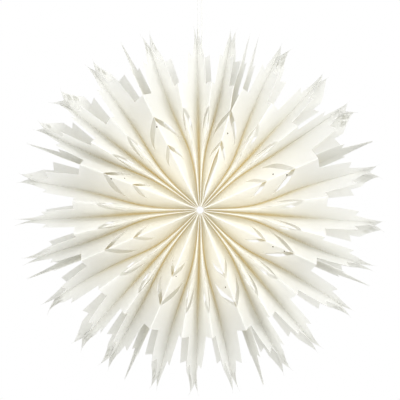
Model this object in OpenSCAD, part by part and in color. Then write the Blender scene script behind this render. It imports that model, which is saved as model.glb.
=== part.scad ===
/* [Star] */
// Radius from the middle of the star to its longest points
tip_r = 300; // [270:5:340]
// Width of one flattened paper bag, from front fold to back fold
bag_w = 180; // [160:5:200]
// Thickness of the paper
paper_t = 0.25; // [0.2:0.05:0.3]
// Width of the rounded edge at each fold
fold_w = 0.7; // [0.65:0.05:0.8]
// Radius of the small hole left where the closed ends of the bags meet
hub_r = 6; // [5.5:0.5:9]
// Height of the hanging point over the middle of the star
drop = 370; // [360:5:400]

/* [Cut pattern] */
// Length of the free paper outside the folds' ends
free_len = 98; // [94:1:104]
// Radius at the outer point of the large chevron opening
large_outer_r = 163; // [160:1:168]
// Radius at the inner point of the large chevron opening
large_inner_r = 155; // [150:1:157]
// Radius at the ends of the large chevron's legs
large_leg_r = 112; // [110:1:116]
// Radius at the outer point of the small chevron opening
small_outer_r = 114; // [111:1:118]
// Radius at the inner point of the small chevron opening
small_inner_r = 106; // [102:1:108]
// Radius at the ends of the small chevron's legs
small_leg_r = 80; // [76:1:84]
// Length of each point beyond the stepped corner beside it
point_len = 47; // [42:1:52]
// Depth of the nick between that corner and the point
nick_h = 6; // [4:0.5:8]
// Length over which two glued sheets part into a forked point
fork_len = 28; // [20:1:32]

/* [Spread of the bags] */
// Radius inside which the bags crowd together at the hub
crowd_r = 25; // [20:1:30]
// Radius at which the panels beside a seam are halfway to their narrow outer shape
narrow_r = 118; // [110:1:126]
// Radius at which the panels change from arched to flat
flatten_r = 165; // [150:5:180]
// Radius from which the free strips behind a seam begin to lean
lean_r = 150; // [140:5:160]
// Gap between the two sheets of the open seam, on each side
open_gap = 7; // [4:1:8]
// Gap between the points of the sheets at the other seams, on each side
seam_gap = 0.45; // [0.4:0.05:1]

/* [Glue] */
// Width of the glued strip along the middle of each bag
glue_w = 8; // [6:1:10]

/* [Cord] */
// Diameter of the hanging cord
cord_d = 2.5; // [2:0.1:2.6]
// Diameter of the stopper knot
knot_d = 9; // [9:0.5:11]
// Width of the square hole that the cord passes through
hole_w = 6; // [5.5:0.1:6.2]
// Distance from the points to the middle of that hole
hole_in = 38; // [37:0.5:41]

/* [Hidden] */
BUNDLES = 8;
EACH = 4;
BAGS = [for (k = [1:BUNDLES], j = [1:EACH]) str("bundle_", k, "_bag_", j)];

// Radii that follow from the length of the bags
fold_end_r = tip_r - free_len;
step_r = tip_r - point_len;
nick_r = step_r - nick_h;
fork_r = tip_r - fork_len;
hole_r = tip_r - hole_in;

paper_colour = [0.97, 0.96, 0.92];
cord_colour = [0.95, 0.95, 0.94];

// Angles of the eight seams between bundles, counterclockwise from the right
seam_angle = [116.5, 159.4, 203, 247.3, 291, 335.1, 383.6, 432.7, 476.5];
// Angles of the glued line in the middle of each bundle
middle_angle = [142, 183.5, 227.7, 268.8, 310.5, 356, 407.2, 451];
// Angles from each seam to the glued line after it, at the rim
flank_after = [10.9, 10.6, 8, 8.7, 7, 6.2, 11.9, 6.8];
// Angles from the glued line before each bundle's second seam to that seam, at the rim
flank_before = [6.1, 6.5, 8.4, 10, 8.8, 9.8, 9.4, 9.4];
// How far the free strips outside each seam's folds have swung, in degrees, at their front edge
strip_swing = [0, 0, 0, 0, 2.4, 2, 2.2, 0];
// How far the point of each seam has swung
point_swing = [-1.2, -0.6, -1.4, -1.3, -1, 0.7, -2, 0];
// How far the two sheets of each forked point bend apart, in degrees: the sheet on the
// clockwise side and the other one, for the three glued lines of each bundle
fork_low = [
    2.1, 3.1, 2.3, 1.7, 0.6, 1.5, 0.3, 1.6, 2.2, 1.8, 2.4, 0.8,
    1.2, 1, 1.7, 0.9, 2.9, 4, 4, 1.4, 3.2, 1.2, 0, 1.4
];
fork_high = [
    1, 2.7, 1, 1.5, 1.5, 1, 3.5, 2.3, 1.4, 0.5, 0.6, 1.6,
    2, 1.3, 0.7, 1.2, 0.4, 0.5, 0.5, 0.8, 0.6, 0.9, 1.2, 1.8
];
// How far the free blades beside those lines lean round, in front and at the back
front_lean = [
    0, 0, 0, 0.7, 0, 0.5, 1.5, 1.5, 0.5, 0, -1.2, 0.4,
    1.7, 0.7, 0.4, 0.7, 0, 0, 0, 0, 0.8, 0.5, 0, 1
];
back_lean = [
    -2.4, -5, -4.4, -2.7, 0.3, -0.4, 0, -2.6, -1.8, -1.8, -2, -0.8,
    -1.4, -1.5, -1, -0.6, -4, -3.4, -6, -4.4, -2.3, -1, 0, -0.3
];
LINES = 3;
// How far the back folds hang turned against the front folds, at each seam and at each middle line
seam_turn = [-4.5, -4.5, -4, -4.5, -1, -3, -3, -4, -4.5];
middle_turn = [-4.5, -2, -4, -4.5, -4.5, -4.5, -4.5, -4.5];
// The last seam is closed by hand and stays a little open; the hole is in the last middle line
OPEN_SEAM = 7;
HOLE_BUNDLE = 7;

// Along the flattened bag, 0 is the fold and 1 is the middle line
notch_u = 0.28;
leg_u = 0.48;
nick_u = 0.66;
shoulder_u = 0.82;
tip_u = 0.985;
end_u = 0.995;
glue_u = 1 - glue_w / bag_w;
// Width of a chevron's leg at its end, and how much shorter the folds' ends are off the fold
blunt = 2;
slope_h = 2;
// How much shorter one corner of the point is than the other
point_slope = 0.5;

// How far from its leg's end the large chevron's outer and inner edge still is at the notch's place,
// as a share of its height: the outer edge bows out and the inner one is nearly straight
outer_bow = 0.67;
inner_bow = 0.45;

// Radii and places of the pattern's own points, from fold to middle line
POINTS = [
    [0, hub_r], [notch_u, hub_r], [leg_u, hub_r], [glue_u, hub_r],
    [0, small_inner_r], [notch_u, small_leg_r - blunt / 2], [leg_u, small_leg_r], [glue_u, small_leg_r],
    [0, small_outer_r], [notch_u, small_leg_r + blunt / 2],
    [0, large_inner_r], [notch_u, large_leg_r + inner_bow * (large_inner_r - large_leg_r)],
    [leg_u, large_leg_r - blunt / 2], [glue_u, large_leg_r],
    [0, large_outer_r], [notch_u, large_leg_r + outer_bow * (large_outer_r - large_leg_r)],
    [leg_u, large_leg_r + blunt / 2],
    [0, fold_end_r], [notch_u, fold_end_r - slope_h],
    [leg_u, fold_end_r - slope_h], [glue_u, fold_end_r - slope_h],
    [leg_u, step_r], [nick_u, nick_r], [glue_u, nick_r],
    [shoulder_u, fork_r], [glue_u, fork_r],
    [tip_u, tip_r - point_slope], [end_u, tip_r]
];
HOLE_POINTS = [
    [1 - hole_w / bag_w, hole_r - hole_w / 2], [1 - hole_w / bag_w, hole_r + hole_w / 2]
];
ALL_POINTS = concat(POINTS, HOLE_POINTS);
TIP = len(POINTS) - 1;
HOLE_IN = len(POINTS);
HOLE_OUT = HOLE_IN + 1;
// The paper of one half of a face, as triangles between those points
PAPER = [
    [0, 1, 5], [0, 5, 4], [1, 2, 6], [1, 6, 5], [2, 3, 7], [2, 7, 6],
    [5, 6, 9],
    [8, 9, 11], [8, 11, 10], [9, 6, 12], [9, 12, 11], [6, 7, 13], [6, 13, 12],
    [12, 13, 16],
    [14, 15, 18], [14, 18, 17], [15, 16, 19], [15, 19, 18], [16, 13, 20], [16, 20, 19],
    [18, 19, 21], [22, 21, 19], [22, 19, 20], [22, 20, 23],
    [22, 23, 25], [22, 25, 24], [24, 25, 27], [24, 27, 26]
];
// The cut edges of that half: small opening, large opening and outline
CUTS = [
    [4, 5], [5, 9], [9, 8],
    [10, 11], [11, 12], [12, 16], [16, 15], [15, 14],
    [17, 18], [18, 21], [21, 22], [22, 24], [24, 26], [26, 27]
];
// Stretches along the fold that keep their paper, and points where a cut crosses the fold
FOLDS = [[0, 4], [8, 10], [14, 17]];
FOLD_STARTS = [8, 14];
FOLD_ENDS = [4, 10, 17];
MIDDLE = [3, 7, 13, 20, 23, 25, 27];
HUB = [0, 1, 2, 3];

// Where each side ridge lies between its two glued lines
RIDGE_SHARE = 0.42;
// How the glued lines beside a seam swing outward near the hub: the share of the way to the middle
// line that they reach inside narrow_r, the share that they lose again at the hub, and how
// suddenly they swing
inner_share = 0.73;
hub_share = 0.23;
suddenness = 5;
function swing(rim, half, r) =
    rim + (inner_share * half - rim) / (1 + pow(r / narrow_r, suddenness))
    - hub_share * half * exp(-pow(r / crowd_r, 2));
function flank_lo(k, r) = seam_angle[k] + swing(flank_after[k], middle_angle[k] - seam_angle[k], r);
function flank_hi(k, r) =
    seam_angle[k + 1] - swing(flank_before[k], seam_angle[k + 1] - middle_angle[k], r);
function ridge_lo(k, r) = flank_lo(k, r) + RIDGE_SHARE * (middle_angle[k] - flank_lo(k, r));
function ridge_hi(k, r) = flank_hi(k, r) - RIDGE_SHARE * (flank_hi(k, r) - middle_angle[k]);
function arc(length, r) = length / r * 180 / PI;
function ease(v) = let (c = min(1, max(0, v))) c * c * (3 - 2 * c);
// The open bags are drawn together a little at the points, by this share of their depth
point_draw = 0.06;
function depth(r) = bag_w / 2 * (1 - point_draw * pow(r / tip_r, 2));

// The sheets on both sides of a seam follow one surface, which swings where no fold holds it
function swung(k, u, front) =
    let (point = point_swing[k % BUNDLES], edge = front ? strip_swing[k % BUNDLES] : point)
    u < notch_u ? edge * u / notch_u : edge + (point - edge) * (u - notch_u) / (1 - notch_u);
// Length over which those strips take up their lean
lean_len = 60;
function seam_at(k, u, r, front) =
    seam_angle[k] + swung(k, u, front) * ease((r - lean_r) / lean_len);
// The turn of the back folds between seams and middle lines
TURNS = [for (k = [0:BUNDLES]) each [
    [seam_angle[k], seam_turn[k]],
    if (k < BUNDLES) [middle_angle[k], middle_turn[k]]
]];
// The open seam also gapes between the hub and its small chevron, by this share of open_gap
slit_share = 0.45;
function slit(r) = slit_share * ease(r / crowd_r - 0.5) * ease((small_inner_r - r) / crowd_r);
// A positive side is the sheet after the seam, and a negative one is the sheet before it
function seam_open(k, r, side) =
    k % BUNDLES != OPEN_SEAM ? side * arc(seam_gap * forked(r), r)
    : side * arc(open_gap * (ease((r - lean_r) / lean_len) + slit(r)), r);
fork_curve = 1.15;
function forked(r) = pow(max(0, (r - fork_r) / (tip_r - fork_r)), fork_curve);
// A forked point at glued line 0, 1 or 2 of a bundle
function low(k, line, r) = -fork_low[LINES * k + line] * forked(r);
function high(k, line, r) = fork_high[LINES * k + line] * forked(r);
// Powers by which the sheets bend between a fold, at 0, and a glued line, at 1
flat_power = 1.1;
rim_power = 1.15;
close_power = 0.65;
function arch(r) = rim_power + 1 / (1 + pow(r / flatten_r, suddenness));
// Sheets beside the flank lines are nearly flat; those beside the middle lines close up early
function deep_power(r) =
    flat_power + (close_power - flat_power) * ease((r - narrow_r) / (flatten_r - narrow_r));
function fall(from, to, u) = from + (to - from) * pow(min(1, u / glue_u), flat_power);
function close(from, to, u, r) = from + (to - from) * pow(min(1, u / glue_u), deep_power(r));
function rise(from, to, u, r) = from + (to - from) * (1 - pow(1 - min(1, u / glue_u), arch(r)));

// Angle of a bag's first sheet, counted counterclockwise, at a place on the pattern
function first_sheet(k, j, u, r, front) =
    j == 0 ? seam_at(k, u, r, front) + seam_open(k, r, 1)
    : j == 1 ? fall(ridge_lo(k, r) - arc(fold_w / 2, r), flank_lo(k, r) + high(k, 0, r), u)
    : j == 2 ? close(ridge_hi(k, r) - arc(fold_w / 2, r), middle_angle[k] + high(k, 1, r), u, r)
    : rise(seam_angle[k + 1] + seam_open(k + 1, r, -1) - arc(fold_w, r),
        flank_hi(k, r) + high(k, 2, r), u, r);
function second_sheet(k, j, u, r, front) =
    j == 0 ? rise(seam_angle[k] + seam_open(k, r, 1) + arc(fold_w, r), flank_lo(k, r) + low(k, 0, r), u, r)
    : j == 1 ? close(ridge_lo(k, r) + arc(fold_w / 2, r), middle_angle[k] + low(k, 1, r), u, r)
    : j == 2 ? fall(ridge_hi(k, r) + arc(fold_w / 2, r), flank_hi(k, r) + low(k, 2, r), u)
    : seam_at(k + 1, u, r, front) + seam_open(k + 1, r, -1);
// A blade that no fold holds leans round beside its glued strip; sheets at a seam don't
function lean(k, j, face, r, y) =
    let (line = face > 0 ? j - 1 : j)
    line < 0 || line >= LINES ? 0
    : (y > 0 ? back_lean : front_lean)[LINES * k + line]
        * min(1, max(0, r - fold_end_r) / (fork_r - fold_end_r))
        * min(1, max(0, abs(y) - glue_w / 2) / (2 * glue_w));

// Quarters of a bag: first sheet front and back, second sheet back and front
function quarter_face(q) = q < 2 ? 1 : -1;
function quarter_y(q) = q == 0 || q == 3 ? -1 : 1;
function place(k, j, q, i, inside) =
    let (
        u = ALL_POINTS[i][0],
        r = ALL_POINTS[i][1],
        front = quarter_y(q) < 0,
        flat = q < 2 ? first_sheet(k, j, u, r, front) : second_sheet(k, j, u, r, front),
        y = quarter_y(q) * depth(r) * (1 - u),
        turned = flat + lookup(flat, TURNS) * max(0, y - glue_w / 2) / (bag_w / 2 - glue_w / 2),
        a = turned + lean(k, j, quarter_face(q), r, y) + (inside ? quarter_face(q) * arc(paper_t, r) : 0),
        rr = inside && i <= HUB[3] ? r + paper_t : r
    )
    [rr * cos(a), y - (inside && u == 0 ? quarter_y(q) * paper_t : 0), rr * sin(a) - drop];

// Which sheet of a bag has the cord's hole: 0 for none, 1 for the first and 2 for the second
function punched(k, j) = k != HOLE_BUNDLE ? 0 : j == 1 ? 2 : j == 2 ? 1 : 0;
function count(hole) = len(POINTS) + (hole > 0 ? 2 : 0);

// Faces name their points by quarter, place on the pattern and skin
function at(q, i, inside, n) = (inside ? 4 * n : 0) + q * n + i;
function turn(t, flip) = flip ? [t[0], t[2], t[1]] : t;
function quad(a, b, c, d, flip) = [turn([a, b, c], flip), turn([a, c, d], flip)];
function join(lists) = [for (l = lists, e = l) e];
function strip(qa, a, b, qb, inside, n) =
    quad(at(qa, a, inside, n), at(qa, b, inside, n), at(qb, b, inside, n), at(qb, a, inside, n), !inside);
// The glued strip of one sheet, from its back quarter to its front one, with or without the hole
function holed(qa, qb, inside, n) =
    let (
        a = MIDDLE[4],
        b = MIDDLE[5],
        outer = [at(qa, a, inside, n), at(qa, b, inside, n), at(qb, b, inside, n), at(qb, a, inside, n)],
        inner = [at(qa, HOLE_IN, inside, n), at(qa, HOLE_OUT, inside, n),
            at(qb, HOLE_OUT, inside, n), at(qb, HOLE_IN, inside, n)]
    )
    join([for (e = [0:3]) quad(outer[e], outer[(e + 1) % 4], inner[(e + 1) % 4], inner[e], !inside)]);
function middle(qa, qb, inside, n, hole) =
    join([for (m = [0:len(MIDDLE) - 2])
        hole && m == 4 ? holed(qa, qb, inside, n) : strip(qa, MIDDLE[m], MIDDLE[m + 1], qb, inside, n)]);

// All faces of one skin of the bag, before its cut edges
function skin(inside, hole, n) = concat(
    [for (q = [0:3], t = PAPER) turn([for (i = t) at(q, i, inside, n)], inside != (q % 2 == 0))],
    join([for (f = FOLDS) strip(0, f[0], f[1], 3, inside, n)]),
    join([for (f = FOLDS) strip(2, f[0], f[1], 1, inside, n)]),
    middle(1, 0, inside, n, hole == 1),
    middle(3, 2, inside, n, hole == 2),
    join([for (h = [0:2]) quad(at(0, HUB[h], inside, n), at(3, HUB[h], inside, n),
        at(3, HUB[h + 1], inside, n), at(0, HUB[h + 1], inside, n), !inside)]),
    join([for (h = [0:2]) quad(at(1, HUB[h + 1], inside, n), at(2, HUB[h + 1], inside, n),
        at(2, HUB[h], inside, n), at(1, HUB[h], inside, n), !inside)]),
    quad(at(0, HUB[3], inside, n), at(3, HUB[3], inside, n),
        at(2, HUB[3], inside, n), at(1, HUB[3], inside, n), !inside)
);
// The cut edges, where the paper's two skins meet
function wall(qa, a, qb, b, flip, n) =
    quad(at(qa, a, false, n), at(qb, b, false, n), at(qb, b, true, n), at(qa, a, true, n), flip);
function hole_rim(qa, qb, n) = concat(
    wall(qa, HOLE_IN, qa, HOLE_OUT, true, n),
    wall(qa, HOLE_OUT, qb, HOLE_OUT, true, n),
    wall(qb, HOLE_OUT, qb, HOLE_IN, true, n),
    wall(qb, HOLE_IN, qa, HOLE_IN, true, n)
);
function rims(hole, n) = concat(
    join([for (q = [0:3], c = CUTS) wall(q, c[0], q, c[1], q % 2 == 0, n)]),
    join([for (i = FOLD_STARTS) concat(wall(0, i, 3, i, true, n), wall(1, i, 2, i, false, n))]),
    join([for (i = FOLD_ENDS) concat(wall(0, i, 3, i, false, n), wall(1, i, 2, i, true, n))]),
    wall(0, TIP, 1, TIP, true, n),
    wall(2, TIP, 3, TIP, true, n),
    hole == 1 ? hole_rim(1, 0, n) : hole == 2 ? hole_rim(3, 2, n) : []
);
function skins(hole, n) = concat(skin(false, hole, n), skin(true, hole, n), rims(hole, n));

module bag(k, j) {
    hole = punched(k, j);
    n = count(hole);
    color(paper_colour)
        polyhedron(
            points = [for (inside = [false, true], q = [0:3], i = [0:n - 1]) place(k, j, q, i, inside)],
            faces = skins(hole, n)
        );
}

// Middle of the cord's hole
hole_x = hole_r * cos(middle_angle[HOLE_BUNDLE]);
hole_z = hole_r * sin(middle_angle[HOLE_BUNDLE]) - drop;
// The cord's route: out of the knot, through the hole, up, round the hanging eye and back down
LOW_LEFT = [
    [-3.4, -1.4, 0], [0, -1.4, 0], [1.4, -1.4, 0.6], [2, -1.4, 2], [2, -1, 8], [2, 0, 16]
];
EYE = [
    [-2.6, 0, -24], [-4, 0, -19], [-6.5, 0, -13.5], [-7.5, 0, -8], [-6.5, 0, -3.2], [-3.8, 0, 0.2],
    [0, 0, 1.25],
    [3.8, 0, 0.2], [6.5, 0, -3.2], [7.5, 0, -8], [6.5, 0, -13.5], [4.2, 0, -19], [2.9, 0, -24]
];
LOW_RIGHT = [
    [7.5, 0, 16], [7.5, 1, 8], [7.4, 1.4, 4.5], [6, 1.4, 1.5], [3, 1.4, 0], [0, 1.4, 0], [-3.4, 1.4, 0]
];
ROUTE = concat(
    [for (p = LOW_LEFT) p + [hole_x, 0, hole_z]],
    EYE,
    [for (p = LOW_RIGHT) p + [hole_x, 0, hole_z]]
);
// The same route with more points on its long straight stretches
function steps(a, b) = max(1, ceil(norm(b - a) / (2.5 * cord_d)));
RINGS = concat(
    [for (i = [0:len(ROUTE) - 2], s = [0:steps(ROUTE[i], ROUTE[i + 1]) - 1])
        ROUTE[i] + (ROUTE[i + 1] - ROUTE[i]) * s / steps(ROUTE[i], ROUTE[i + 1])],
    [ROUTE[len(ROUTE) - 1]]
);
function unit(v) = v / norm(v);
function along(i) = unit(RINGS[min(i + 1, len(RINGS) - 1)] - RINGS[max(i - 1, 0)]);
CORD_SIDES = 8;
function cord_point(i, s) =
    let (t = along(i), side = unit(cross([0, 1, 0], t)), up = cross(t, side), a = 360 / CORD_SIDES * s)
    RINGS[i] + cord_d / 2 * (side * cos(a) + up * sin(a));
function cord_at(i, s) = i * CORD_SIDES + s % CORD_SIDES;

module cord_tube() {
    last = len(RINGS) - 1;
    polyhedron(
        points = [for (i = [0:last], s = [0:CORD_SIDES - 1]) cord_point(i, s)],
        faces = concat(
            [[for (s = [0:CORD_SIDES - 1]) cord_at(0, s)]],
            [for (i = [0:last - 1], s = [0:CORD_SIDES - 1])
                [cord_at(i, s), cord_at(i + 1, s), cord_at(i + 1, s + 1), cord_at(i, s + 1)]],
            [[for (s = [CORD_SIDES - 1:-1:0]) cord_at(last, s)]]
        )
    );
}

// The knot bears on the hole's edge from the side away from the two strands
knot_x = hole_x - paper_t - sqrt(pow(knot_d / 2, 2) - pow(hole_w / 2, 2)) - 0.1;

module hanging_cord() {
    color(cord_colour)
        union() {
            cord_tube();
            translate([knot_x, 0, hole_z])
                sphere(d = knot_d, $fn = 20);
        }
}

for (k = [0:BUNDLES - 1])
    for (j = [0:EACH - 1])
        bag(k, j);
hanging_cord();
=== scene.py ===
import math
import bpy
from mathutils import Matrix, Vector, noise


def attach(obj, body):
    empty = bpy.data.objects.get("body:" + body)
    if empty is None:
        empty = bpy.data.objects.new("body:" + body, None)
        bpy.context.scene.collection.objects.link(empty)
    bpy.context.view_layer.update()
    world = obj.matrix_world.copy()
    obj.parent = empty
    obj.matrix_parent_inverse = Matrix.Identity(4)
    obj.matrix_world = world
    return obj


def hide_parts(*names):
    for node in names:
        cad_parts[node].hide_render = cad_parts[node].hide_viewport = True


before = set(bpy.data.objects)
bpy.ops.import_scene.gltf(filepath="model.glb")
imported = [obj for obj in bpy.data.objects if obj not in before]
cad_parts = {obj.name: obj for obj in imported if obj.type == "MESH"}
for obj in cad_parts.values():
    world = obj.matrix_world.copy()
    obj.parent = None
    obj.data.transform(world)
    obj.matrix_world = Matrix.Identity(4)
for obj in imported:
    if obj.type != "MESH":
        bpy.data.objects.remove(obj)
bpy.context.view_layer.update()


# %% [markdown]
# The star is a paper craft: thirty-two flat paper bags, all cut to one pattern, are glued
# side to side and pulled open like a fan until the last one meets the first. We look at it
# straight on, from about three metres, as one would look at it hanging in a window.

# %% Camera
MM = 0.001
DROP_MM = 370               # from the hanging point down to the middle of the star
DROP = DROP_MM * MM
VIEW_DISTANCE = 3.2
FRAME_WIDTH = 0.6452        # metres across the picture, at the middle of the star
SENSOR = 36.0
PICTURE_ROWS = 400
ROWS_BELOW = 10             # how far the star hangs below the middle of the picture

camera_data = bpy.data.cameras.new("camera")
camera_data.sensor_width = SENSOR
camera_data.lens = SENSOR * VIEW_DISTANCE / FRAME_WIDTH
camera_data.shift_y = ROWS_BELOW / PICTURE_ROWS
camera_data.clip_end = 50
camera = bpy.data.objects.new("camera", camera_data)
camera.location = (0, -VIEW_DISTANCE, -DROP)
camera.rotation_euler = (math.radians(90), 0, 0)
bpy.context.scene.collection.objects.link(camera)
bpy.context.scene.camera = camera
print("camera lens", round(camera_data.lens, 1), "mm")

# %% [markdown]
# A few small helpers come next. The first turns an sRGB hex value into the linear numbers
# that shaders work in. The second adds one shader node with its settings and its links,
# so that a material reads like a recipe. The last two start a material and show a mesh.

# %% Colour and node helpers
def paint(hex_value):
    """An sRGB hex colour as a linear RGBA value."""
    parts = [int(hex_value[i:i + 2], 16) / 255 for i in (1, 3, 5)]
    return [c / 12.92 if c <= 0.04045 else ((c + 0.055) / 1.055) ** 2.4 for c in parts] + [1.0]


def add(tree, kind, settings=None, inputs=None):
    """Adds a node. An input is a value, or an output socket that is linked to it."""
    node = tree.nodes.new(kind)
    for name, value in (settings or {}).items():
        setattr(node, name, value)
    for name, value in (inputs or {}).items():
        if isinstance(value, bpy.types.NodeSocket):
            tree.links.new(value, node.inputs[name])
        else:
            node.inputs[name].default_value = value
    return node


def new_material(name):
    """An empty node material and its tree."""
    material = bpy.data.materials.new(name)
    material.use_nodes = True
    material.node_tree.nodes.clear()
    return material, material.node_tree


def show_mesh(name, points, faces, material):
    """A mesh object with its place in its points."""
    mesh = bpy.data.meshes.new(name)
    mesh.from_pydata(points, [], faces)
    mesh.update()
    mesh.materials.append(material)
    obj = bpy.data.objects.new(name, mesh)
    bpy.context.scene.collection.objects.link(obj)
    return obj


print("helpers are ready")

# %% [markdown]
# The cord is bleached cotton, three yarns laid into one thin string. Bleached cotton is
# soft and matte, and its yarns show as slanted ridges about every three millimetres. The
# colour is nearly neutral, a little cooler than the paper.

# %% Cotton cord material
cotton, tree = new_material("bleached_cotton")
place_in = add(tree, "ShaderNodeTexCoord")
fuzz = add(tree, "ShaderNodeTexNoise", {}, {
    "Vector": place_in.outputs["Object"],
    "Scale": 1 / (0.4 * MM),     # cotton fibres gather in tufts of about 0.4 mm
    "Detail": 3.0,
})
raised = add(tree, "ShaderNodeBump", {}, {
    "Strength": 0.35,
    "Distance": 0.1 * MM,
    "Height": fuzz.outputs["Fac"],
})
thread = add(tree, "ShaderNodeBsdfPrincipled", {}, {
    "Base Color": paint("#f1f1ee"),
    "Roughness": 0.9,
    "Normal": raised.outputs["Normal"],
})
thread.inputs["Sheen Weight"].default_value = 0.25
add(tree, "ShaderNodeOutputMaterial", {}, {"Surface": thread.outputs["BSDF"]})
print("made", cotton.name)

# %% [markdown]
# The cord starts in a stopper knot beside the hole in the top point, passes through the
# hole, rises to the hanging eye, and comes back down to the same knot. The points are the
# construction's own, in millimetres, and are turned to metres here.

# %% Route of the cord
HOLE_RADIUS_ON_STAR = 262.0
HOLE_ANGLE = math.radians(91)
HOLE_X = HOLE_RADIUS_ON_STAR * math.cos(HOLE_ANGLE)
HOLE_Z = HOLE_RADIUS_ON_STAR * math.sin(HOLE_ANGLE) - DROP_MM
LOW_LEFT = [
    (-3.4, -1.4, 0), (0, -1.4, 0), (1.4, -1.4, 0.6), (2, -1.4, 2), (2, -1, 8), (2, 0, 16)
]
EYE = [
    (-2.6, 0, -24), (-4, 0, -19), (-6.5, 0, -13.5), (-7.5, 0, -8), (-6.5, 0, -3.2), (-3.8, 0, 0.2),
    (0, 0, 1.25),
    (3.8, 0, 0.2), (6.5, 0, -3.2), (7.5, 0, -8), (6.5, 0, -13.5), (4.2, 0, -19), (2.9, 0, -24)
]
LOW_RIGHT = [
    (7.5, 0, 16), (7.5, 1, 8), (7.4, 1.4, 4.5), (6, 1.4, 1.5), (3, 1.4, 0),
    (0, 1.4, 0), (-3.4, 1.4, 0)
]


def from_hole(points):
    """Points counted from the hole, as points of the frame, still in millimetres."""
    return [(x + HOLE_X, y, z + HOLE_Z) for x, y, z in points]


def rounded(points, rounds):
    """Cuts the corners off a path, again and again, and keeps its two ends."""
    for _ in range(rounds):
        cut = [points[0]]
        for a, b in zip(points, points[1:]):
            cut += [a.lerp(b, 0.25), a.lerp(b, 0.75)]
        points = cut + [points[-1]]
    return points


def evenly(points, step):
    """The same path with its points at even steps."""
    far = [0.0]
    for a, b in zip(points, points[1:]):
        far.append(far[-1] + (b - a).length)
    count = max(2, round(far[-1] / step))
    out, i = [], 0
    for n in range(count + 1):
        want = far[-1] * n / count
        while i < len(far) - 2 and far[i + 1] < want:
            i += 1
        out.append(points[i].lerp(points[i + 1], (want - far[i]) / max(1e-9, far[i + 1] - far[i])))
    return out, far[-1]


corner_points = from_hole(LOW_LEFT) + EYE + from_hole(LOW_RIGHT)
route = rounded([Vector(p) * MM for p in corner_points], 3)
route, cord_length = evenly(route, 0.6 * MM)
print("the cord is", round(cord_length * 1000), "mm long")

# %% [markdown]
# A laid cord isn't round: its three yarns bulge, and the bulges wind round it. We sweep a
# three-lobed section along the route and turn it as it goes, so the twist is in the mesh.

# %% Cord as a twisted tube
CORD_D = 2.5 * MM
LAY_LENGTH = 9 * MM          # one full turn of the three yarns
LOBE_SIDES = 18


def twisted_tube(path, width, lay, sides, lobes=3, dent=0.16):
    """Points and faces of a laid cord along a path."""
    points, faces, gone = [], [], 0.0
    for i, p in enumerate(path):
        ahead = (path[min(i + 1, len(path) - 1)] - path[max(i - 1, 0)]).normalized()
        side = Vector((0, 1, 0)).cross(ahead).normalized()
        up = ahead.cross(side)
        if i:
            gone += (p - path[i - 1]).length
        for s in range(sides):
            a = math.tau * s / sides
            twist = a - math.tau * gone / lay
            radius = width / 2 * (1 - dent + dent * abs(math.cos(lobes * twist / 2)))
            points.append(p + side * radius * math.cos(a) + up * radius * math.sin(a))
    for i in range(len(path) - 1):
        for s in range(sides):
            a, b = i * sides + s, i * sides + (s + 1) % sides
            faces.append((a, a + sides, b + sides, b))
    faces.append(tuple(range(sides)))
    faces.append(tuple(reversed(range(len(points) - sides, len(points)))))
    return points, faces


points, faces = twisted_tube(route, CORD_D, LAY_LENGTH, LOBE_SIDES)
cord = show_mesh("cord", points, faces, cotton)
cord.data.polygons.foreach_set("use_smooth", [True] * len(cord.data.polygons))
print("the cord has", len(faces), "faces")

# %% [markdown]
# The stopper is a tight overhand knot in the doubled ends. A trefoil is the closed form of
# an overhand knot, and at nine millimetres its crossings look right from the side.

# %% Stopper knot
KNOT_D = 9 * MM
THICK = 0.25                 # of the paper, in millimetres
HOLE_W = 6 * MM
KNOT_GAP = 0.1 * MM
sunk = math.sqrt((KNOT_D / 2) ** 2 - (HOLE_W / 2) ** 2)
knot_x = HOLE_X * MM - THICK * MM - sunk - KNOT_GAP
knot_centre = Vector((knot_x, 0, HOLE_Z * MM))
YARN_D = 2.1 * MM            # the cord is squeezed where it is knotted
bend = (KNOT_D - YARN_D) / 2 / 3
LOOP_STEPS = 180
loop = []
for n in range(LOOP_STEPS + 1):
    t = math.tau * n / LOOP_STEPS
    loop.append(knot_centre + bend * Vector((
        -1.1 * math.sin(3 * t),
        math.sin(t) + 2 * math.sin(2 * t),
        math.cos(t) - 2 * math.cos(2 * t),
    )))


def closed_tube(path, width, sides):
    """A round tube along a closed path."""
    points, faces, count = [], [], len(path) - 1
    for i in range(count):
        ahead = (path[(i + 1) % count] - path[(i - 1) % count]).normalized()
        side = ahead.cross((path[i] - knot_centre).normalized()).normalized()
        up = ahead.cross(side)
        for s in range(sides):
            a = math.tau * s / sides
            points.append(path[i] + width / 2 * (side * math.cos(a) + up * math.sin(a)))
    for i in range(count):
        for s in range(sides):
            a, b = i * sides + s, i * sides + (s + 1) % sides
            c, d = (i + 1) % count * sides + (s + 1) % sides, (i + 1) % count * sides + s
            faces.append((a, b, c, d))
    return points, faces


points, faces = closed_tube(loop, YARN_D, 12)
knot = show_mesh("stopper_knot", points, faces, cotton)
knot.data.polygons.foreach_set("use_smooth", [True] * len(knot.data.polygons))

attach(cord, "root")
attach(knot, "root")
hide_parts("hanging_cord")
print("the knot is", round(KNOT_D * 1000), "mm wide")

# %% [markdown]
# Now the paper. Every bag is cut to one pattern. We describe a place on the flat bag by two
# numbers: u, which is 0 at the folded edge and 1 at the bag's middle line, and r, the
# distance from the closed end, which becomes the distance from the middle of the star.
# All lengths of the pattern are in millimetres.

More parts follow.
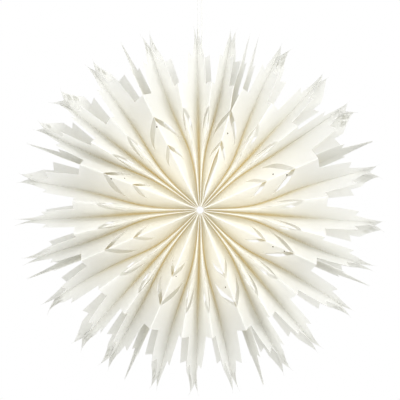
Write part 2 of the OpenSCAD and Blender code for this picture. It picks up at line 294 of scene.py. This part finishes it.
# %% Sizes of one bag
TIP_R = 300.0
BAG_W = 180.0
FOLD_W = 0.7
HUB_R = 6.0
GLUE_HALF = 4.0
GLUE_U = 1 - 2 * GLUE_HALF / BAG_W
NOTCH_U, LEG_U, NICK_U, SHOULDER_U, TIP_U = 0.28, 0.48, 0.66, 0.82, 0.985
FOLD_END_R, NOTCH_R, LEG_END_R, NICK_R, FORK_R = 202.0, 200.0, 253.0, 247.0, 272.0
POINT_STEP = 0.5            # the point is cut blunt by this much
SMALL_APEX_R, SMALL_LEG_R, LARGE_LEG_R = 106.0, 80.0, 112.0
STEEP = 10                  # how suddenly a chevron's leg ends
BAND_STEPS = 9, 8, 14       # steps of the mesh along the three stretches of paper

OUTLINE = [
    (0, FOLD_END_R), (NOTCH_U, NOTCH_R), (LEG_U, LEG_END_R), (NICK_U, NICK_R),
    (SHOULDER_U, FORK_R), (TIP_U, TIP_R - POINT_STEP), (1, TIP_R),
]
# the edges of both chevrons, from the hub outward: the radius of the apex, the radius where
# the leg ends, the u that the leg reaches, the share of the bow in its drop, and the bow's power
CHEVRON_EDGES = [
    (SMALL_APEX_R, SMALL_LEG_R, NOTCH_U, 0.85, 0.8),
    (114.0, SMALL_LEG_R, NOTCH_U, 0.6, 1),
    (155.0, LARGE_LEG_R, LEG_U, 0.85, 0.8),
    (163.0, LARGE_LEG_R, LEG_U, 0.56, 1),
]


def curve(u, apex, leg, reach, share, power):
    """A cut edge from a pointed apex on the fold, which drops steeply at the end of its leg."""
    t = min(1.0, u / reach)
    return leg + (apex - leg) * (1 - share * t ** power - (1 - share) * t ** STEEP)


def outline(u):
    """Where the bag's cut outer edge lies."""
    for (u0, r0), (u1, r1) in zip(OUTLINE, OUTLINE[1:]):
        if u <= u1:
            return r0 + (r1 - r0) * (u - u0) / (u1 - u0)
    return OUTLINE[-1][1]


def bands(u):
    """The stretches of paper that one line across the pattern meets, from the hub outward."""
    small_in, small_out, large_in, large_out = (curve(u, *edge) for edge in CHEVRON_EDGES)
    starts, ends = (HUB_R, small_out, large_out), (small_in, large_in, outline(u))
    return list(zip(starts, ends, BAND_STEPS))


print("one bag measures", TIP_R - HUB_R, "by", BAG_W, "mm when flat")

# %% [markdown]
# When the fan is open, each sheet of paper swings between its neighbours. Near the hub the
# bags crowd together, and toward the points they spread, so the angles depend on r. These
# are the construction's own rules, so the finer mesh lies where its solids lie.

# %% Angles of the open fan
BUNDLES, BAGS, LINES = 8, 4, 3   # four bags in a bundle have three glued lines between them
SEAM = [116.5, 159.4, 203, 247.3, 291, 335.1, 383.6, 432.7, 476.5]
MIDDLE = [142, 183.5, 227.7, 268.8, 310.5, 356, 407.2, 451]
AFTER = [10.9, 10.6, 8, 8.7, 7, 6.2, 11.9, 6.8]
BEFORE = [6.1, 6.5, 8.4, 10, 8.8, 9.8, 9.4, 9.4]
STRIP_SWING = [0, 0, 0, 0, 2.4, 2, 2.2, 0]
POINT_SWING = [-1.2, -0.6, -1.4, -1.3, -1, 0.7, -2, 0]
SEAM_TURN = [-4.5, -4.5, -4, -4.5, -1, -3, -3, -4, -4.5]
MIDDLE_TURN = [-4.5, -2, -4, -4.5, -4.5, -4.5, -4.5, -4.5]
# for the three glued lines of each bundle: how far its two sheets part at the point, and
# how far the free blades lean round in front and at the back
FORK_LOW = [
    2.1, 3.1, 2.3, 1.7, 0.6, 1.5, 0.3, 1.6, 2.2, 1.8, 2.4, 0.8,
    1.2, 1, 1.7, 0.9, 2.9, 4, 4, 1.4, 3.2, 1.2, 0, 1.4
]
FORK_HIGH = [
    1, 2.7, 1, 1.5, 1.5, 1, 3.5, 2.3, 1.4, 0.5, 0.6, 1.6,
    2, 1.3, 0.7, 1.2, 0.4, 0.5, 0.5, 0.8, 0.6, 0.9, 1.2, 1.8
]
FRONT_LEAN = [
    0, 0, 0, 0.7, 0, 0.5, 1.5, 1.5, 0.5, 0, -1.2, 0.4,
    1.7, 0.7, 0.4, 0.7, 0, 0, 0, 0, 0.8, 0.5, 0, 1
]
BACK_LEAN = [
    -2.4, -5, -4.4, -2.7, 0.3, -0.4, 0, -2.6, -1.8, -1.8, -2, -0.8,
    -1.4, -1.5, -1, -0.6, -4, -3.4, -6, -4.4, -2.3, -1, 0, -0.3
]
OPEN_SEAM = 7
HOLE_BUNDLE = 7
CROWD_R, NARROW_R, FLATTEN_R = 25.0, 118.0, 165.0
INNER_SHARE, HUB_SHARE = 0.73, 0.23
SUDDENNESS = 5              # how suddenly the strips swing apart beyond a radius
POINT_DRAW = 0.06           # share of a bag's width that is drawn in at its point
RIDGE_SHARE = 0.42


def arc(length, r):
    """The angle in degrees that a length takes up at a radius."""
    return math.degrees(length / r)


def ease(v):
    """Goes smoothly from 0 to 1."""
    c = min(1.0, max(0.0, v))
    return c * c * (3 - 2 * c)


def depth(r):
    """How far the folded edge lies from the middle plane."""
    return BAG_W / 2 * (1 - POINT_DRAW * (r / TIP_R) ** 2)


def swing(rim, half, r):
    """How a glued line beside a seam swings outward near the hub."""
    return (rim + (INNER_SHARE * half - rim) / (1 + (r / NARROW_R) ** SUDDENNESS)
            - HUB_SHARE * half * math.exp(-(r / CROWD_R) ** 2))


def flank_lo(k, r):
    return SEAM[k] + swing(AFTER[k], MIDDLE[k] - SEAM[k], r)


def flank_hi(k, r):
    return SEAM[k + 1] - swing(BEFORE[k], SEAM[k + 1] - MIDDLE[k], r)


def ridge_lo(k, r):
    return flank_lo(k, r) + RIDGE_SHARE * (MIDDLE[k] - flank_lo(k, r))


def ridge_hi(k, r):
    return flank_hi(k, r) - RIDGE_SHARE * (flank_hi(k, r) - MIDDLE[k])


print("the fan has", BUNDLES, "bundles of", BAGS, "bags")

# %% [markdown]
# A sheet isn't flat between the lines that hold it. Some strips lean over, the blades of a
# forked point bend apart, and a sheet leaves its fold steeply or flatly, by a power of u.

# %% How the sheets bend between those lines
LEAN_R, LEAN_LEN = 150.0, 60.0
SEAM_GAP, OPEN_GAP = 0.45, 7.0
SLIT_SHARE, SLIT_START = 0.45, 0.5
FORK_CURVE = 1.15
FLAT_POWER, CLOSE_DROP, RIM_POWER = 1.1, 0.45, 1.15


def swung(k, u, front):
    """The free strips behind a seam lean to one side."""
    point = POINT_SWING[k % BUNDLES]
    edge = STRIP_SWING[k % BUNDLES] if front else point
    if u < NOTCH_U:
        return edge * u / NOTCH_U
    return edge + (point - edge) * (u - NOTCH_U) / (1 - NOTCH_U)


def seam_at(k, u, r, front):
    return SEAM[k] + swung(k, u, front) * ease((r - LEAN_R) / LEAN_LEN)


def forked(r):
    """How far the two sheets of a glued line have parted, from 0 to 1 at the point."""
    return max(0.0, (r - FORK_R) / (TIP_R - FORK_R)) ** FORK_CURVE


def low(k, line, r):
    """The sheet on the clockwise side of a forked point bends away from its partner."""
    return -FORK_LOW[LINES * k + line] * forked(r)


def high(k, line, r):
    return FORK_HIGH[LINES * k + line] * forked(r)


def lean(k, j, sheet, r, y):
    """A blade that no fold holds leans round beside its glued strip; seam sheets don't."""
    line = j - 1 if sheet == 0 else j
    if line not in range(LINES):
        return 0.0
    side = BACK_LEAN if y > 0 else FRONT_LEAN
    beside = min(1.0, max(0.0, abs(y) - GLUE_HALF) / (4 * GLUE_HALF))
    outside = min(1.0, max(0.0, r - FOLD_END_R) / (FORK_R - FOLD_END_R))
    return side[LINES * k + line] * outside * beside


def seam_open(k, r, side):
    """The gap at a seam: hardly any, but for the last seam, which was closed by hand."""
    if k % BUNDLES != OPEN_SEAM:
        return side * arc(SEAM_GAP * forked(r), r)
    outer = ease((r - LEAN_R) / LEAN_LEN)
    inner = SLIT_SHARE * ease(r / CROWD_R - SLIT_START) * ease((SMALL_APEX_R - r) / CROWD_R)
    return side * arc(OPEN_GAP * (outer + inner), r)


def fall(start, end, u):
    """A sheet that runs almost straight from its fold to its glued line."""
    return start + (end - start) * min(1.0, u / GLUE_U) ** FLAT_POWER


def close(start, end, u, r):
    """A sheet that closes on its glued line early where the star is wide."""
    power = FLAT_POWER - CLOSE_DROP * ease((r - NARROW_R) / (FLATTEN_R - NARROW_R))
    return start + (end - start) * min(1.0, u / GLUE_U) ** power


def rise(start, end, u, r):
    """A sheet that leaves its fold steeply, most of all near the hub."""
    power = RIM_POWER + 1 / (1 + (r / FLATTEN_R) ** SUDDENNESS)
    return start + (end - start) * (1 - (1 - min(1.0, u / GLUE_U)) ** power)


def first_sheet(k, j, u, r, front):
    """Angle of a bag's first sheet, counted counterclockwise."""
    if j == 0:
        return seam_at(k, u, r, front) + seam_open(k, r, 1)
    if j == 1:
        return fall(ridge_lo(k, r) - arc(FOLD_W / 2, r), flank_lo(k, r) + high(k, 0, r), u)
    if j == 2:
        return close(ridge_hi(k, r) - arc(FOLD_W / 2, r), MIDDLE[k] + high(k, 1, r), u, r)
    fold = SEAM[k + 1] + seam_open(k + 1, r, -1) - arc(FOLD_W, r)
    return rise(fold, flank_hi(k, r) + high(k, 2, r), u, r)


def second_sheet(k, j, u, r, front):
    """Angle of the bag's other sheet."""
    if j == 0:
        fold = SEAM[k] + seam_open(k, r, 1) + arc(FOLD_W, r)
        return rise(fold, flank_lo(k, r) + low(k, 0, r), u, r)
    if j == 1:
        return close(ridge_lo(k, r) + arc(FOLD_W / 2, r), MIDDLE[k] + low(k, 1, r), u, r)
    if j == 2:
        return fall(ridge_hi(k, r) + arc(FOLD_W / 2, r), flank_hi(k, r) + low(k, 2, r), u)
    return seam_at(k + 1, u, r, front) + seam_open(k + 1, r, -1)


print("one sheet of the first bag starts at", round(first_sheet(0, 0, 0, 100, True), 1), "degrees")

# %% [markdown]
# The back of the fan hangs turned a little against its front, as such stars do, because
# nothing but paper holds the folds apart. The turn grows from the glue line to the back
# folds. On top of this, a slow wave shifts all the paper by a millimetre or so, because no
# sheet of a handmade star is quite flat. The wave depends on the place alone, so sheets
# that touch stay together.

# %% From the pattern to the star
WAVE = 1.3 * MM
WAVE_LENGTH = 70 * MM
WAVE_START_R, WAVE_GROWTH = 40, 200
WAVE_PLACE = Vector((7.3, 1.9, 4.1))
WAVE_SEED = 7
noise.seed_set(WAVE_SEED)    # without it the noise starts from the clock, anew in each run
JOINT_GAP = 0.04            # between the skins of two glued sheets and the face they share
TURNS = []
for k in range(BUNDLES + 1):
    TURNS.append((SEAM[k], SEAM_TURN[k]))
    if k < BUNDLES:
        TURNS.append((MIDDLE[k], MIDDLE_TURN[k]))


def back_turn(angle):
    """How far the back folds are turned, at an angle round the star."""
    if angle <= TURNS[0][0]:
        return TURNS[0][1]
    for (a0, t0), (a1, t1) in zip(TURNS, TURNS[1:]):
        if angle <= a1:
            return t0 + (t1 - t0) * (angle - a0) / (a1 - a0)
    return TURNS[-1][1]


def wave(p, r):
    """A slow, smooth shift of the paper, none at the hub and most at the points."""
    grow = ease((r - WAVE_START_R) / WAVE_GROWTH)
    shift = noise.noise_vector(p / WAVE_LENGTH + WAVE_PLACE)
    return p + shift * WAVE * grow


def put(k, j, sheet, front, u, r, inward, out=0.0):
    """A point of the paper: sheet 0 or 1 of bag j in bundle k, and how far inside its skin."""
    angle_of = first_sheet if sheet == 0 else second_sheet
    flat = angle_of(k, j, u, r, front)
    y = (-1 if front else 1) * (depth(r) * (1 - u) + out)
    turned = flat + back_turn(flat) * max(0.0, y - GLUE_HALF) / (BAG_W / 2 - GLUE_HALF)
    turned += lean(k, j, sheet, r, y)
    a = math.radians(turned + (1 if sheet == 0 else -1) * arc(inward, r))
    p = Vector((r * math.cos(a) * MM, y * MM, r * math.sin(a) * MM - DROP))
    return wave(p, r)


print("a tip of the first bag lies at", [round(v, 3) for v in put(0, 0, 0, True, 1, TIP_R, 0)])

# %% [markdown]
# The mesh of one bag is a grid of lines across the pattern. Each line keeps only its
# stretches of paper, so the chevrons and the outline come out as clean cut edges. The
# lines are closest near the fold and near the cuts. The grid is made once, for all bags.

# %% Grid of one bag
COLUMNS = [
    0, 0.03, 0.07, 0.12, 0.17, 0.215, 0.25, NOTCH_U, 0.32, 0.36, 0.40, 0.44, 0.465, LEG_U,
    0.53, 0.58, 0.62, NICK_U, 0.71, 0.765, SHOULDER_U, 0.88, 0.925, GLUE_U, TIP_U, 1
]
grid = []                    # each point: sheet, front or back, u, r, and how far the fold bulges
known = {}


def grid_point(sheet, front, u, r, out=0.0):
    """The number of a point of the grid, which is made when it is first asked for."""
    side = front if u < 1 else None
    key = (sheet, side, u, round(r, 4), out)
    if key not in known:
        known[key] = len(grid)
        grid.append((sheet, front, u, r, out))
    return known[key]


def rows(u):
    """Radii of the points on one line, one list for each stretch of paper."""
    return [[lo + (hi - lo) * i / n for i in range(n + 1)] for lo, hi, n in bands(u)]


skin = []


def add_face(corner, flip):
    """Adds a face to the skin, wound the other way round if asked."""
    skin.append(corner[::-1] if flip else corner)


for sheet in (0, 1):
    for front in (True, False):
        flip = (sheet == 0) != front
        for u0, u1 in zip(COLUMNS, COLUMNS[1:]):
            for left, right in zip(rows(u0), rows(u1)):
                for i in range(len(left) - 1):
                    corner = [
                        grid_point(sheet, front, u0, left[i]),
                        grid_point(sheet, front, u1, right[i]),
                        grid_point(sheet, front, u1, right[i + 1]),
                        grid_point(sheet, front, u0, left[i + 1]),
                    ]
                    add_face(corner, flip)
print("the four half sheets have", len(skin), "faces")

# %% [markdown]
# The two folded edges are rounded by one more line between the sheets, which stands out a
# little. At the hub the bag is closed, as a paper bag is at its bottom.

# %% Folds and closed end
FOLD_BULGE = 0.2
FOLD_LINE = 2               # stands in the place of the sheet's number
for front in (True, False):
    for line in rows(0):
        for r0, r1 in zip(line, line[1:]):
            for sheet in (0, 1):
                corner = [
                    grid_point(sheet, front, 0, r0), grid_point(sheet, front, 0, r1),
                    grid_point(FOLD_LINE, front, 0, r1, FOLD_BULGE),
                    grid_point(FOLD_LINE, front, 0, r0, FOLD_BULGE),
                ]
                add_face(corner, (sheet == 0) != front)
    # the closed end of the bag, at the hub
    for u0, u1 in zip(COLUMNS, COLUMNS[1:]):
        corner = [
            grid_point(0, front, u0, HUB_R), grid_point(0, front, u1, HUB_R),
            grid_point(1, front, u1, HUB_R), grid_point(1, front, u0, HUB_R),
        ]
        add_face(corner, front)
    corner = [
        grid_point(FOLD_LINE, front, 0, HUB_R, FOLD_BULGE), grid_point(0, front, 0, HUB_R),
        grid_point(1, front, 0, HUB_R),
    ]
    add_face(corner, front)
print("with its folds and closed end the skin has", len(skin), "faces")

# %% [markdown]
# An edge that only one face uses is a cut edge of the paper. An edge that two faces use in
# the same direction would be a mistake, so we count those too.

# %% Cut edges
seen = {}
for face in skin:
    for a, b in zip(face, face[1:] + face[:1]):
        seen[(a, b)] = seen.get((a, b), 0) + 1
twice = [e for e, n in seen.items() if n > 1]
edges = [e for e in seen if (e[1], e[0]) not in seen]
print("the grid has", len(grid), "points,", len(skin), "faces and", len(edges), "cut edges;",
      len(twice), "edges are wound wrongly")

# %% [markdown]
# The paper is uncoated white craft paper, bleached and left without any coating, which is
# why it is matte and lets a good part of the light through. Light that has passed from
# sheet to sheet turns warm, because wood fibres take a little blue out of it each time.
# That warm, dim light is painted into the paper's colour as painted shade: the colour goes
# from near white to a warm tint deep in the valleys, and a sheet that stands out alone at
# a point is painted a shade greyer, for the light its neighbours don't send back. Each
# bag's mesh carries three values for this, which are worked out further down: valley,
# alone and crowding.

# %% Colour of the paper
def mixed(tree, share, one, other):
    """A colour between two others, each of them a colour or a socket."""
    node = add(tree, "ShaderNodeMix", {"data_type": "RGBA"}, {0: share, 6: one, 7: other})
    return node.outputs[2]


paper, tree = new_material("uncoated_craft_paper")
place_in = add(tree, "ShaderNodeTexCoord")
clouds = add(tree, "ShaderNodeTexNoise", {}, {
    "Vector": place_in.outputs["Object"],
    "Scale": 1 / (9 * MM),       # the pulp settles in clouds of some 9 mm
    "Detail": 4.0,
})
tone = add(tree, "ShaderNodeMapRange", {}, {
    "Value": clouds.outputs["Fac"],
    "From Min": 0.3,
    "From Max": 0.7,
})
valley = add(tree, "ShaderNodeAttribute", {"attribute_name": "valley"})
alone = add(tree, "ShaderNodeAttribute", {"attribute_name": "alone"})
white_pulp = mixed(tree, tone.outputs["Result"], paint("#fbfbf9"), paint("#fdfdfd"))
# painted shade: deep in the valleys the paper turns a warm ochre, for the dim warm light between
# the sheets
sheet_colour_with_valley_shade = mixed(tree, valley.outputs["Fac"], white_pulp, paint("#f1e1a9"))
# painted shade: a sheet that stands out alone at a point is painted greyer
colour_with_painted_shade = mixed(tree, alone.outputs["Fac"], sheet_colour_with_valley_shade, paint("#f1f1ee"))
print("the colour of", paper.name, "is set")

# %% [markdown]
# Fibres give the sheet a fine tooth. Near the hub the light passes so many sheets that the
# renderer gives up on it before it comes out. A weak warm glow of the paper itself stands
# for that light, strongest where the bags stand closest together.

# %% Surface of the paper
GLOW_STRENGTH = 0.14
fibres = add(tree, "ShaderNodeTexNoise", {}, {
    "Vector": place_in.outputs["Object"],
    "Scale": 1 / (1.2 * MM),     # fibres are finer, and are drawn this coarse to show at all
    "Detail": 4.0,
    "Roughness": 0.65,
})
tooth = add(tree, "ShaderNodeBump", {}, {
    "Strength": 0.25,
    "Distance": 0.05 * MM,
    "Height": fibres.outputs["Fac"],
})
hub_glow = add(tree, "ShaderNodeAttribute", {"attribute_name": "crowding"})
glow_colour = mixed(tree, valley.outputs["Fac"], paint("#fff1d0"), paint("#ffe08c"))
soaked = add(tree, "ShaderNodeMath", {"operation": "MULTIPLY"}, {
    0: hub_glow.outputs["Fac"],
    1: GLOW_STRENGTH,
})
surface = add(tree, "ShaderNodeBsdfPrincipled", {}, {
    "Base Color": colour_with_painted_shade,
    "Roughness": 0.88,
    "Specular IOR Level": 0.3,
    "Emission Color": glow_colour,
    "Emission Strength": soaked.outputs["Value"],
    "Normal": tooth.outputs["Normal"],
})
print("the surface of", paper.name, "is set")

# %% [markdown]
# Part of the light goes through. A skin that is met from the front sends two fifths of it
# on, and one that is met from behind, inside the paper, sends all of it on.

# %% Light through the paper
# painted shade: the light through a sheet that stands out alone at a point is greyer too
passed_colour_with_tip_shade = mixed(tree, alone.outputs["Fac"], paint("#fdfdfa"), paint("#f3f3f0"))
glow = add(tree, "ShaderNodeBsdfTranslucent", {}, {
    "Color": passed_colour_with_tip_shade,
    "Normal": tooth.outputs["Normal"],
})
skin_side = add(tree, "ShaderNodeNewGeometry")
passing = add(tree, "ShaderNodeMapRange", {}, {
    "Value": skin_side.outputs["Backfacing"],
    "To Min": 0.4,
    "To Max": 1.0,
})
both = add(tree, "ShaderNodeMixShader", {}, {
    "Fac": passing.outputs["Result"],
    1: surface.outputs["BSDF"],
    2: glow.outputs["BSDF"],
})
add(tree, "ShaderNodeOutputMaterial", {}, {"Surface": both.outputs["Shader"]})
print("made", paper.name)

# %% [markdown]
# A bag is the grid put in its place twice: once for the outer skin of the paper and once
# for the inner skin, a quarter of a millimetre inside it. Quads along the cut edges join
# the two skins, so that each bag is a closed solid with real thickness.

# %% One bag
VALLEY_U, VALLEY_WIDTH, VALLEY_POWER = 0.62, 0.38, 1.5
VALLEY_R, VALLEY_FADE = 80, 150
CROWDED_R, CROWDED_FADE = 50, 190
HUB_LOSS, HUB_RISE = 0.2, 60
ALONE_R, ALONE_LEN = 245, 45


# this value paints a warm shade into the paper deep in the valleys, and warms its glow there
def valley_at(u, r):
    """How much a place lies in a deep valley between two sheets, from 0 to 1."""
    beside = ease((u - VALLEY_U) / VALLEY_WIDTH) ** VALLEY_POWER
    return beside * (1 - ease((r - VALLEY_R) / VALLEY_FADE))


def crowding_at(r):
    """How closely the bags stand together, from 0 out in the open to 1 near the hub."""
    near_hub = 1 - HUB_LOSS + HUB_LOSS * ease((r - HUB_R) / HUB_RISE)
    return (1 - ease((r - CROWDED_R) / CROWDED_FADE)) * near_hub


# this value paints a sheet greyer, as painted shade, where it stands out alone at a point
def alone_at(r):
    """How far a sheet stands out alone, from 0 among the others to 1 at its point."""
    return ease((r - ALONE_R) / ALONE_LEN)


def bag_points(k, j):
    """Both skins of a bag."""
    points = []
    for inner in (0, 1):
        inward = JOINT_GAP + THICK * inner
        for sheet, front, u, r, out in grid:
            near_hub = r + THICK * inner if r == HUB_R else r
            pulled = out - THICK * inner if u == 0 else 0.0
            if sheet != FOLD_LINE:
                points.append(put(k, j, sheet, front, u, near_hub, inward, pulled))
            else:
                one, two = (put(k, j, s, front, u, near_hub, inward, pulled) for s in (0, 1))
                points.append((one + two) / 2)
    return points


many = len(grid)
bag_faces = [tuple(f) for f in skin]
bag_faces += [tuple(n + many for n in reversed(f)) for f in skin]
bag_faces += [(b, a, a + many, b + many) for a, b in edges]
print("one bag has", 2 * many, "points and", len(bag_faces), "faces")

# %% [markdown]
# Thirty-two bags follow from the same grid. Each one stands for its own solid of the
# imported part, and gets its ride once the hole for the cord is cut.

# %% All bags
SHARP = math.radians(55)


def finish_paper(obj):
    """Smooth panels with crisp cut edges, riding with the star."""
    obj.data.polygons.foreach_set("use_smooth", [True] * len(obj.data.polygons))
    obj.data.set_sharp_from_angle(angle=SHARP)
    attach(obj, "root")


valley_values = [valley_at(u, r) for _, _, u, r, _ in grid] * 2
crowding_values = [crowding_at(r) for _, _, _, r, _ in grid] * 2
alone_values = [alone_at(r) for _, _, _, r, _ in grid] * 2
bags = {}
for k in range(BUNDLES):
    for j in range(BAGS):
        bag = show_mesh(f"paper_bag_{k + 1}_{j + 1}", bag_points(k, j), bag_faces, paper)
        bags[k, j] = bag
        for name, values in (
            ("valley", valley_values), ("crowding", crowding_values), ("alone", alone_values),
        ):
            layer = bag.data.attributes.new(name, "FLOAT", "POINT")
            layer.data.foreach_set("value", values)
        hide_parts(f"bundle_{k + 1}_bag_{j + 1}")
print("made", len(bags), "bags of", len(bag_faces), "faces")

# %% [markdown]
# The cord needs a hole through the two sheets that are glued together at the top point. A
# short cylinder cuts it, as a hole punch would.

# %% Hole for the cord
punch_points, punch_faces = [], []
PUNCH_SIDES = 32
PUNCH_HALF = 1.5             # half the length of the punch, in millimetres
for x in (-PUNCH_HALF, PUNCH_HALF):
    for s in range(PUNCH_SIDES):
        a = math.tau * s / PUNCH_SIDES
        y, z = HOLE_W / 2 * math.cos(a), HOLE_W / 2 * math.sin(a)
        punch_points.append(Vector((HOLE_X * MM + x * MM, y, HOLE_Z * MM + z)))
for s in range(PUNCH_SIDES):
    t = (s + 1) % PUNCH_SIDES
    punch_faces.append((s, t, t + PUNCH_SIDES, s + PUNCH_SIDES))
punch_faces.append(tuple(reversed(range(PUNCH_SIDES))))
punch_faces.append(tuple(range(PUNCH_SIDES, 2 * PUNCH_SIDES)))
punch = show_mesh("hole_punch", punch_points, punch_faces, paper)
for j in (1, 2):             # the two bags that meet at the bundle's middle line
    bag = bags[HOLE_BUNDLE, j]
    cut = bag.modifiers.new("hole", "BOOLEAN")
    cut.operation = "DIFFERENCE"
    cut.solver = "EXACT"
    cut.object = punch
    bpy.context.view_layer.update()
    graph = bpy.context.evaluated_depsgraph_get()
    holed = bpy.data.meshes.new_from_object(bag.evaluated_get(graph))
    bag.modifiers.clear()
    bag.data = holed
    print("cut the hole in", bag.name, "which now has", len(holed.polygons), "faces")
bpy.data.objects.remove(punch)
for bag in bags.values():
    finish_paper(bag)

# %% [markdown]
# Here and there a small dark dot lies on the sheet beside the edge of a chevron. Each dot is
# a tiny disc laid on the sheet through the same rules as the sheet itself, so it follows
# the bend of the paper.

# %% Dark dot material
dot_material, tree = new_material("dark_dot_paper")
dot_surface = add(tree, "ShaderNodeBsdfPrincipled", {}, {
    "Base Color": paint("#33281a"),
    "Roughness": 0.95,
})
add(tree, "ShaderNodeOutputMaterial", {}, {"Surface": dot_surface.outputs["BSDF"]})
print("made", dot_material.name)

# %% Dark dots
# bundle, bag, sheet, u, radius on the star and size in millimetres
DOTS = [
    (0, 0, 1, 0.03, 147, 2.8), (1, 0, 1, 0.05, 148, 2.5), (0, 3, 0, 0.12, 129, 2.3),
    (3, 3, 0, 0.10, 128, 2.5), (3, 0, 1, 0.10, 111, 2.2), (4, 3, 0, 0.06, 128, 2.6),
    (4, 3, 0, 0.04, 147, 2.5), (6, 0, 1, 0.08, 128, 2.6), (5, 3, 0, 0.06, 147, 2.8),
    (7, 0, 0, 0.06, 147, 2.8), (6, 3, 0, 0.10, 128, 2.6), (7, 0, 0, 0.03, 111, 3.2),
    (7, 0, 0, 0.04, 67, 3.2),
]
DOT_SIDES = 10
DOT_TOP, DOT_BOTTOM = 0.12, 0.02   # how far its two faces lie above the paper's skin
dot_points, dot_faces = [], []
for k, j, sheet, u, r, wide in DOTS:
    first = len(dot_points)
    for inward in (JOINT_GAP - DOT_TOP, JOINT_GAP - DOT_BOTTOM):
        for s in range(DOT_SIDES):
            a = math.tau * s / DOT_SIDES
            du = wide / 2 * math.cos(a) / (BAG_W / 2)
            dr = wide / 2 * math.sin(a)
            dot_points.append(put(k, j, sheet, True, max(0.0, u + du), r + dr, inward))
    over = list(range(first, first + DOT_SIDES))
    under = list(range(first + DOT_SIDES, first + 2 * DOT_SIDES))
    flat = [over[::-1], under] if sheet else [over, under[::-1]]
    dot_faces += [tuple(f) for f in flat]
    for s in range(DOT_SIDES):
        t = (s + 1) % DOT_SIDES
        side = (over[s], under[s], under[t], over[t])
        dot_faces.append(side if not sheet else side[::-1])
dots = show_mesh("dark_dots", dot_points, dot_faces, dot_material)
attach(dots, "root")
print("made", len(DOTS), "dots")

# %% [markdown]
# A pale floor lies far below, as in a room with the star at head height.

# %% Floor
plaster, tree = new_material("pale_floor")
ground = add(tree, "ShaderNodeBsdfPrincipled", {}, {
    "Base Color": paint("#f2f2f0"),
    "Roughness": 0.8,
})
add(tree, "ShaderNodeOutputMaterial", {}, {"Surface": ground.outputs["BSDF"]})
FLOOR_Z, FLOOR_HALF = -2.2, 9.0
floor = show_mesh("floor", [
    (-FLOOR_HALF, -FLOOR_HALF, FLOOR_Z), (FLOOR_HALF, -FLOOR_HALF, FLOOR_Z),
    (FLOOR_HALF, FLOOR_HALF, FLOOR_Z), (-FLOOR_HALF, FLOOR_HALF, FLOOR_Z),
], [(0, 1, 2, 3)], plaster)
print("the floor lies", -FLOOR_Z, "m below the hanging point")

# %% [markdown]
# The star hangs in front of plain white. The camera, and rays that are mirrored or go
# through a surface, see the world as pure white. All other rays meet a white of three
# quarters of that strength, and this even room light reaches the star from every side.

# %% World
world = bpy.data.worlds.new("soft_room_light")
bpy.context.scene.world = world
world.use_nodes = True
tree = world.node_tree
tree.nodes.clear()
ray = add(tree, "ShaderNodeLightPath")
direct = add(tree, "ShaderNodeMath", {"operation": "MAXIMUM"}, {
    0: ray.outputs["Is Camera Ray"],
    1: ray.outputs["Is Glossy Ray"],
})
plain = add(tree, "ShaderNodeMath", {"operation": "MAXIMUM"}, {
    0: direct.outputs["Value"],
    1: ray.outputs["Is Transmission Ray"],
})
ROOM_STRENGTH = 0.75
room = add(tree, "ShaderNodeBackground", {}, {
    "Color": paint("#ffffff"),
    "Strength": ROOM_STRENGTH,
})
white = add(tree, "ShaderNodeBackground", {}, {"Color": paint("#ffffff"), "Strength": 1.0})
backing = add(tree, "ShaderNodeMixShader", {}, {
    "Fac": plain.outputs["Value"],
    1: room.outputs["Background"],
    2: white.outputs["Background"],
})
add(tree, "ShaderNodeOutputWorld", {}, {"Surface": backing.outputs["Shader"]})
print("the world is white behind the star")

# %% [markdown]
# Three large soft lamps add to the room light. The key lamp stands in front, up and to the
# right, so the sheets that face it are nearly white and those that face away are darker.
# The fill lamp stands almost straight in front, a little to the left, and lifts the
# valleys. A weak lamp behind the star sends some light through the paper.

# %% Lamps
def soft_lamp(name, place, wide, power, colour):
    """A square lamp that looks at the middle of the star."""
    data = bpy.data.lights.new(name, "AREA")
    data.shape = "SQUARE"
    data.size = wide
    data.energy = power
    data.color = paint(colour)[:3]
    lamp = bpy.data.objects.new(name, data)
    lamp.location = place
    aim = Vector((0, 0, -DROP)) - Vector(place)
    lamp.rotation_euler = aim.to_track_quat("-Z", "Y").to_euler()
    lamp.visible_camera = False
    bpy.context.scene.collection.objects.link(lamp)
    return lamp


soft_lamp("key_lamp", (1.3, -2.6, 0.9), 1.2, 40, "#ffffff")
soft_lamp("fill_lamp", (-0.9, -3.0, -0.2), 1.8, 15, "#ffffff")
soft_lamp("back_lamp", (0.4, 2.4, 0.8), 1.8, 8, "#ffffff")
bpy.context.scene.view_settings.view_transform = "Standard"
print("three soft lamps light the star")
